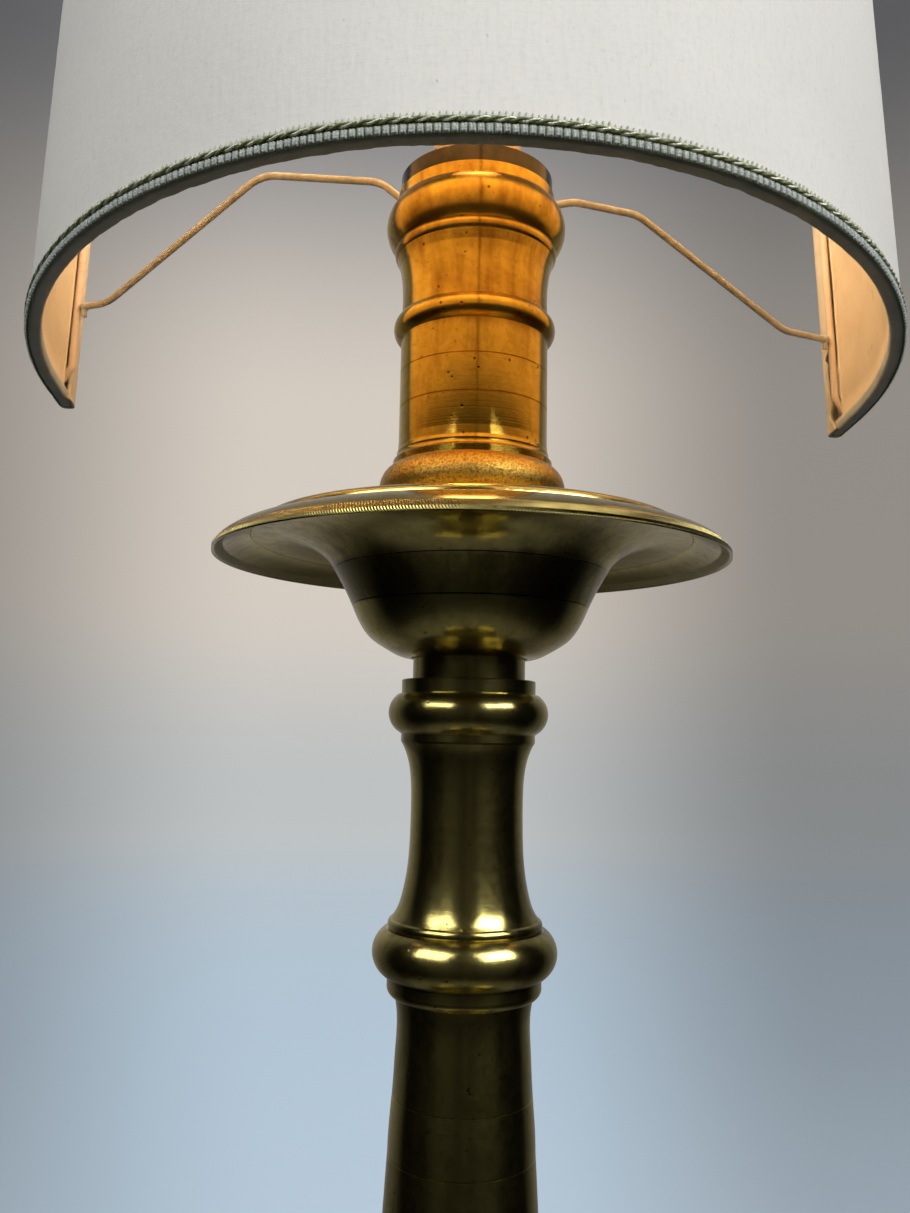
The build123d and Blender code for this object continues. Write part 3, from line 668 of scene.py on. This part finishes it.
def hem(at_top):
    """Thick tape rolled round the wall's edge, with small puckers along it."""
    edge = "top" if at_top else "bottom"
    n = 700
    s = np.linspace(-0.0008, PATH + 0.0008, n)
    half = (FACE_R - SHADE_R) / 2
    mid = SHADE_R + half
    # the roll's section: down the inner face, round below the edge and up the outer face
    a = np.linspace(math.pi, 2 * math.pi, 15)
    round_x = np.sign(np.cos(a)) * np.abs(np.cos(a)) ** 0.55
    round_z = np.sign(np.sin(a)) * np.abs(np.sin(a)) ** 0.7
    across = np.concatenate([[-half], round_x * half, [half]])
    down = np.concatenate([[HEM_H + 0.0006], HEM_H * 0.78 * (1 + round_z), [HEM_H]])
    pucker = 1 + 0.05 * smooth_noise(n, 7, RNG) + 0.04 * smooth_noise(n, 2.5, RNG)
    R = mid + across[None, :] * (1 + 0.02 * smooth_noise(n, 5, RNG)[:, None])
    H = np.repeat(down[None, :], n, 0)
    H = H + (1 - pucker[:, None]) * 0.0045 * np.clip(1 - H / HEM_H, 0, 1)
    reach = np.clip(np.minimum(s - s[0], s[-1] - s) / 0.0042, 0.02, 1)
    round_off = np.sqrt(1 - (1 - reach) ** 2)[:, None]
    R = mid + (R - mid) * round_off
    H = HEM_H - (HEM_H - np.maximum(H, 0.00002)) * round_off
    if at_top:
        H = SHADE_H - H
    pts, faces, along = swept(R, H, s)
    piece = build(f"{edge}_hem_roll", pts, flipped(faces) if at_top else faces, finishes["hem_tape"],
                  "shade", along=along)
    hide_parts(f"{edge}_hem_tape")
    return piece


def row_height(offset, at_top):
    """Height above the hem of something set in from the bottom or top edge."""
    return SHADE_H - offset if at_top else offset


def squares(at_top):
    """Row of small woven squares, each with six stitches on its face."""
    edge = "top" if at_top else "bottom"
    tall, thick = BEAD_ROW
    count = 253
    pitch = PATH / count
    cols, rows = 9, 10
    u, v = np.meshgrid(np.linspace(-1, 1, cols), np.linspace(-1, 1, rows), indexing="ij")
    dome = (1 - np.abs(u) ** 4) * (1 - np.abs(v) ** 4)
    stitches = np.sin((u + 1) * math.pi) ** 2 * np.abs(np.sin((v + 1) * 1.5 * math.pi))
    cap = dome * 0.60 + stitches * 0.40
    parts = []
    for i in range(count):
        wide, high, lift, skew = RNG.normal(0, 1, 4) * (0.03, 0.03, 0.05, 0.05)
        centre = (i + 0.5) * pitch
        ss = centre + (u + skew * v) * pitch * 0.43 * (1 + wide)
        hh = TRIM_INSET + tall * (0.5 + v * 0.46 * (1 + high))
        rr = FACE_R + 0.0001 + thick * 0.95 * cap * (1 + lift)
        verts = on_shade(ss, rr, row_height(hh, at_top)).reshape(-1, 3)
        faces = [tuple(q) for q in grid_faces(cols, rows)]
        parts.append((verts, faces if at_top else flipped(faces)))
    verts, faces = joined(parts)
    piece = build(f"{edge}_braid_squares", verts, faces, finishes["braid_pearl"], "shade")
    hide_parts(f"{edge}_braid_beads")
    return piece


def backing(at_top):
    """Dark gauze strip under the braid, seen only between its stitches."""
    edge = "top" if at_top else "bottom"
    n = 400
    s = np.linspace(0.0002, PATH - 0.0002, n)
    low, high = TRIM_INSET, TRIM_INSET + BEAD_ROW[0] + ROPE_ROW[0]
    r = FACE_R + np.array([0.0, 0.00035, 0.00035, 0.0])
    h = np.array([low, low, high, high])
    R, H = np.repeat(r[None, :], n, 0), np.repeat(row_height(h, at_top)[None, :], n, 0)
    pts, faces, along = swept(R, H, s)
    return build(f"{edge}_braid_gauze", pts, faces if at_top else flipped(faces), finishes["braid_olive"],
                 "shade", along=along)


def rope(at_top):
    """Two cords twisted together, one olive and one of pale metal thread, each of three yarns."""
    edge = "top" if at_top else "bottom"
    tall, thick = ROPE_ROW
    turn_length, ply_length = 0.0083, 0.0031
    n = 1300
    s = np.linspace(0.0006, PATH - 0.0006, n)
    middle = TRIM_INSET + BEAD_ROW[0] + tall * 0.5
    wander = 0.00012 * smooth_noise(n, 30, RNG)
    made = []
    for cord, (label, finish) in enumerate((("dark", "braid_olive"), ("pale", "braid_metal"))):
        twist = 2 * math.pi * s / turn_length + cord * math.pi + 0.25 * smooth_noise(n, 40, RNG)
        parts = []
        for ply in range(3):
            fine = 2 * math.pi * s / ply_length + ply * 2 * math.pi / 3
            r = FACE_R + thick * 0.5 + 0.00036 * np.cos(twist) + 0.00026 * np.cos(fine)
            h = middle + 0.00052 * np.sin(twist) + 0.00028 * np.sin(fine) + wander
            parts.append(tube(on_shade(s, r, row_height(h, at_top)), 0.0003, 6))
        verts, faces = joined(parts)
        piece = build(f"{edge}_braid_cord_{label}", verts, faces, finishes[finish], "shade")
        made.append(piece)
    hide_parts(f"{edge}_braid_rope")
    return made


def loops(at_top):
    """Row of tiny thread loops above the rope, over a straight selvedge thread."""
    edge = "top" if at_top else "bottom"
    tall, thick = LOOP_ROW
    start = TRIM_INSET + BEAD_ROW[0] + ROPE_ROW[0]
    count, points = 330, 9
    n = count * points
    s = np.linspace(0.0008, PATH - 0.0008, n)
    phase = 2 * math.pi * np.arange(n) / points
    size = 1 + 0.22 * smooth_noise(n, points, RNG)
    h = start + tall * 0.42 * (1 - np.cos(phase)) * size * 0.95
    r = FACE_R + thick * (0.45 + 0.25 * np.sin(phase))
    across = s + 0.0006 * np.sin(phase)
    parts = [tube(on_shade(across, r, row_height(h, at_top)), 0.00021, 5)]
    fine = np.linspace(0.0008, PATH - 0.0008, 700)
    parts.append(tube(on_shade(fine, FACE_R + 0.0005, row_height(start + 0.0002, at_top)), 0.00028, 5))
    verts, faces = joined(parts)
    piece = build(f"{edge}_braid_threads", verts, faces, finishes["braid_thread"], "shade")
    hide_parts(f"{edge}_braid_loops")
    return piece


def end_strip(side):
    """Strip of cover cloth down one open end: it caps the wall and is folded in over its inner face.
    On the right the fold has torn loose low down."""
    label = "left" if side < 0 else "right"
    n = 240
    h = np.linspace(0.0004, SHADE_H - 0.0004, n)
    wide = FACE_R - SHADE_R
    # the section runs from the fold's free edge, over the wall's end, to the outer face and back
    path = np.array([
        (-0.0001, -STRIP_W), (-0.0007, -STRIP_W * 0.97), (-0.0009, -STRIP_W * 0.75),
        (-0.0006, -STRIP_W * 0.58), (-0.0009, -STRIP_W * 0.40), (-0.0008, -STRIP_W * 0.18),
        (-0.0004, 0.0006), (0.0008, 0.0017), (wide / 2, 0.0020), (wide - 0.0008, 0.0017),
        (wide, 0.0007), (wide, -0.0010), (wide - 0.0006, -0.0010), (wide - 0.0008, 0.0),
        (0.0006, 0.0), (0.0006, -STRIP_W)])
    m = len(path)
    lip = np.clip(1 - np.arange(m) / 6.0, 0, 1)
    lip[-1] = 1.0
    wave = 0.00035 * smooth_noise(n, 14, RNG) + 0.00012 * smooth_noise(n, 4, RNG)
    X = SHADE_R + np.repeat(path[None, :, 0], n, 0)
    Y = END_Y + path[None, :, 1] + wave[:, None] * lip[None, :]
    X -= 0.0002 * (1 + smooth_noise(n, 9, RNG))[:, None] * (lip[None, :] > 0.3)
    if side > 0:
        torn = np.exp(-((h - 0.034) / 0.016) ** 2) + 0.8 * np.exp(-((h - 0.010) / 0.006) ** 2)
        torn = np.clip(torn * (1 + 0.35 * smooth_noise(n, 5, RNG)), 0, 1)
        Y += torn[:, None] * lip[None, :] * 0.0052
        X -= torn[:, None] * np.array([1.0, 1.2, 0.8, 0.3] + [0] * (m - 5) + [1.0])[None, :] * 0.0011
    c, k = math.cos(TILT), math.sin(TILT)
    hh = np.repeat(h[:, None], m, 1)
    pts = np.stack([side * X, Y * c - hh * k, HEM_Z + Y * k + hh * c], -1).reshape(-1, 3)
    faces = flipped(capped_faces(n, m)) if side > 0 else capped_faces(n, m)
    run = np.concatenate([[0], np.cumsum(np.hypot(*np.diff(path, axis=0).T))])
    along = np.stack([hh.ravel(), np.tile(run, n), np.zeros(n * m)], -1)
    piece = build(f"end_strip_{label}", pts, faces, finishes["end_tape"], "shade",
                  along=along)
    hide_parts(f"end_tape_{label}")
    return piece


def felt():
    """Baize disc with a slightly ragged edge."""
    n = 240
    low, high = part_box("base_felt")
    a = np.linspace(0, 2 * math.pi, n, endpoint=False)
    edge = FOOT_R - 0.0006 + 0.0004 * smooth_noise(n, 3, RNG, True)
    rings = [(0.05, low.z), (0.10, low.z), (1.0, low.z), (1.002, (low.z + high.z) / 2),
             (0.999, high.z), (0.6, high.z)]
    count = len(rings)
    verts = []
    for share, z in rings:
        rr = edge * share
        verts.append(np.stack([rr * np.cos(a), rr * np.sin(a), np.full(n, z)], -1))
    verts = np.concatenate(verts + [np.array([[0, 0, low.z], [0, 0, high.z]])])
    faces = ring_faces(count, n)
    for j in range(n):
        k = (j + 1) % n
        faces.append((count * n, k, j))
        faces.append((count * n + 1, (count - 1) * n + j, (count - 1) * n + k))
    piece = build("felt_disc", verts, faces, finishes["green_baize"], "lamp",
                  smooth=False)
    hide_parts("base_felt")
    return piece


cover = shade_cover()
card_lining()
trim = [hem(False), hem(True), end_strip(-1), end_strip(1)]
for at_top in (False, True):
    trim += [squares(at_top), backing(at_top), loops(at_top), *rope(at_top)]
baize_disc = felt()


# ---- Floor, world and lights ---------------------------------------------------------------------
def studio_sweep():
    """Round pale floor that curves up into a wall on every side. It glows with painted light: a painted
    backdrop gradient, bluish near, warm higher up and grey at the top, with painted shade at both sides of
    the view.
    """
    steps = 96
    flat, bend, top = 4.0, 2.0, 7.0
    profile = [(0.6, 0.0), (2.0, 0.0), (flat, 0.0)]
    profile += [(flat + bend * math.sin(a), bend * (1 - math.cos(a)))
                for a in np.linspace(0, math.pi / 2, 13)[1:]]
    profile.append((flat + bend, top))
    around = np.linspace(0, 2 * math.pi, steps, endpoint=False)
    verts = [(0.0, 0.0, 0.0)] + [(r * math.cos(a), r * math.sin(a), z) for r, z in profile for a in around]
    faces = [(0, 1 + j, 1 + (j + 1) % steps) for j in range(steps)]
    for i in range(len(profile) - 1):
        for j in range(steps):
            k = (j + 1) % steps
            a, b = 1 + i * steps, 1 + (i + 1) * steps
            faces.append((a + j, b + j, b + k, a + k))
    f = Finish("painted_studio_light")
    x, y, z = f.parts(f.place())
    # the glow is painted light of a lit backdrop: bluish near, warm higher up, grey at the top
    colour = f.mix(f.span(y, 0.8, 4.2), (0.38, 0.50, 0.61), (0.52, 0.545, 0.55))
    colour = f.mix(f.span(z, 0.0, 1.3), colour, (0.70, 0.635, 0.56))
    colour = f.mix(f.span(z, 2.4, 5.0), colour, (0.22, 0.22, 0.23))
    # painted shade at both sides of the view
    slope = f.calc("DIVIDE", x, f.calc("MAXIMUM", f.calc("ADD", y, 0.45), 0.6))
    aside = f.calc("ABSOLUTE", f.calc("ADD", slope, 0.03))
    painted_side_shade = f.calc("MULTIPLY", f.span(aside, 0.08, 0.45, 0.0, 0.60), f.span(y, -1.0, 1.2))
    colour = f.mix(painted_side_shade, colour, (0.03, 0.03, 0.033))
    f.put(Base_Color=(0.16, 0.17, 0.18, 1), Roughness=0.9, Emission_Color=colour, Emission_Strength=0.92)
    mesh = bpy.data.meshes.new("floor")
    mesh.from_pydata(verts, [], faces)
    mesh.polygons.foreach_set("use_smooth", [True] * len(mesh.polygons))
    mesh.materials.append(f.mat)
    sweep = bpy.data.objects.new("floor", mesh)
    bpy.context.scene.collection.objects.link(sweep)
    sweep.visible_glossy = False
    sweep.visible_diffuse = False
    sweep.visible_shadow = False


def studio_world():
    """Dim room for what the lamp reflects: upright bands of dark and light, brighter behind."""
    world = bpy.data.worlds.new("studio")
    bpy.context.scene.world = world
    world.use_nodes = True
    tree = world.node_tree
    tree.nodes.clear()
    ways = tree.nodes.new("ShaderNodeTexCoord")
    apart = tree.nodes.new("ShaderNodeSeparateXYZ")
    tree.links.new(ways.outputs["Generated"], apart.inputs[0])

    def ramp(value, stops):
        """Colours read off a list of (value, colour) stops between -1 and 1."""
        fac = tree.nodes.new("ShaderNodeMapRange")
        fac.inputs["From Min"].default_value = -1.0
        tree.links.new(value, fac.inputs["Value"])
        found = tree.nodes.new("ShaderNodeValToRGB")
        tree.links.new(fac.outputs["Result"], found.inputs["Fac"])
        points = found.color_ramp.elements
        while len(points) < len(stops):
            points.new(0.5)
        for point, (position, colour) in zip(points, stops):
            point.position = (position + 1) / 2
            point.color = (*colour, 1)
        return found.outputs["Color"]

    def calc(op, a, b=None):
        """One step of arithmetic on numbers or sockets."""
        n = tree.nodes.new("ShaderNodeMath")
        n.operation = op
        for index, v in enumerate((a, b)):
            if isinstance(v, bpy.types.NodeSocket):
                tree.links.new(v, n.inputs[index])
            elif v is not None:
                n.inputs[index].default_value = v
        return n.outputs[0]

    # 0 straight ahead of the closed front, 1 straight behind
    ahead = calc("MULTIPLY", apart.outputs[1], -1.0)
    around = calc("DIVIDE", calc("ARCTAN2", calc("ABSOLUTE", apart.outputs[0]), ahead), math.pi)
    walls = ramp(calc("SUBTRACT", calc("MULTIPLY", around, 2.0), 1.0), (
        (-1.00, (0.040, 0.036, 0.034)), (-0.90, (0.022, 0.022, 0.022)), (-0.72, (0.034, 0.036, 0.034)),
        (-0.50, (0.030, 0.031, 0.030)), (-0.34, (0.004, 0.004, 0.005)), (0.18, (0.004, 0.004, 0.005)),
        (0.28, (0.065, 0.066, 0.068)), (0.50, (0.20, 0.20, 0.20)), (1.00, (0.50, 0.47, 0.45))))
    rise = ramp(apart.outputs[2], ((-0.75, (0.10,) * 3), (-0.30, (0.60,) * 3), (0.25, (1.0,) * 3)))
    below = ramp(apart.outputs[2], (
        (-1.0, (0.11, 0.11, 0.11)), (-0.86, (0.085, 0.087, 0.088)), (-0.70, (0.010, 0.010, 0.010)),
        (-0.5, (0.0, 0.0, 0.0))))

    def join(a, b, blend):
        """Two colours multiplied or added."""
        n = tree.nodes.new("ShaderNodeMix")
        n.data_type = "RGBA"
        n.blend_type = blend
        n.inputs[0].default_value = 1.0
        tree.links.new(a, n.inputs[6])
        tree.links.new(b, n.inputs[7])
        return n.outputs[2]

    room = join(join(walls, rise, "MULTIPLY"), below, "ADD")
    shine = tree.nodes.new("ShaderNodeBackground")
    tree.links.new(room, shine.inputs["Color"])
    end = tree.nodes.new("ShaderNodeOutputWorld")
    tree.links.new(shine.outputs[0], end.inputs["Surface"])


def key_light(name, azimuth, power):
    """Soft box that looks at the middle of the lamp, from degrees to the right of its front."""
    a = math.radians(azimuth)
    level = math.cos(KEY_RISE)
    way = Vector((math.sin(a) * level, -math.cos(a) * level, math.sin(KEY_RISE)))
    data = bpy.data.lights.new(name, "AREA")
    data.shape = "RECTANGLE"
    data.size, data.size_y = KEY_SIZE
    data.energy = power
    light = bpy.data.objects.new(name, data)
    light.location = LAMP_MIDDLE + way * KEY_DISTANCE
    light.rotation_euler = way.to_track_quat("Z", "Y").to_euler()
    bpy.context.scene.collection.objects.link(light)


studio_sweep()
studio_world()
key_light("key_left", -52, KEY_LEFT_POWER)
key_light("key_right", 44, KEY_RIGHT_POWER)
bpy.context.scene.view_settings.view_transform = "Standard"

glow = bpy.data.lights.new("bulb_light", "POINT")
glow.energy = BULB_POWER
glow.color = (1.0, 0.66, 0.30)
glow.shadow_soft_size = 0.03
glow_at = bpy.data.objects.new("bulb_light", glow)
glow_at.location = BULB_AT
bpy.context.scene.collection.objects.link(glow_at)

# ---- Camera --------------------------------------------------------------------------------------
CAMERA_DISTANCE = 0.4454
CAMERA_HEIGHT = 0.460
AROUND = math.radians(-4.7)
PAN = math.radians(-0.86)
PITCH = math.radians(6.768)
ROLL = math.radians(1.025)
ahead = Vector((math.sin(PAN) * math.cos(PITCH), math.cos(PAN) * math.cos(PITCH), math.sin(PITCH)))
right = Vector((math.cos(PAN), -math.sin(PAN), 0))
up = right.cross(ahead)
camera_x = right * math.cos(ROLL) + up * math.sin(ROLL)
camera_y = up * math.cos(ROLL) - right * math.sin(ROLL)
turn = Matrix.Rotation(AROUND, 4, "Z")
basis = Matrix((camera_x, camera_y, -ahead)).transposed().to_4x4()
camera_data = bpy.data.cameras.new("camera")
camera_data.lens = 29.92
camera_data.sensor_width = 36
camera_data.clip_start = 0.01
camera = bpy.data.objects.new("camera", camera_data)
camera.matrix_world = turn @ Matrix.Translation((0, -CAMERA_DISTANCE, CAMERA_HEIGHT)) @ basis
bpy.context.scene.collection.objects.link(camera)
bpy.context.scene.camera = camera
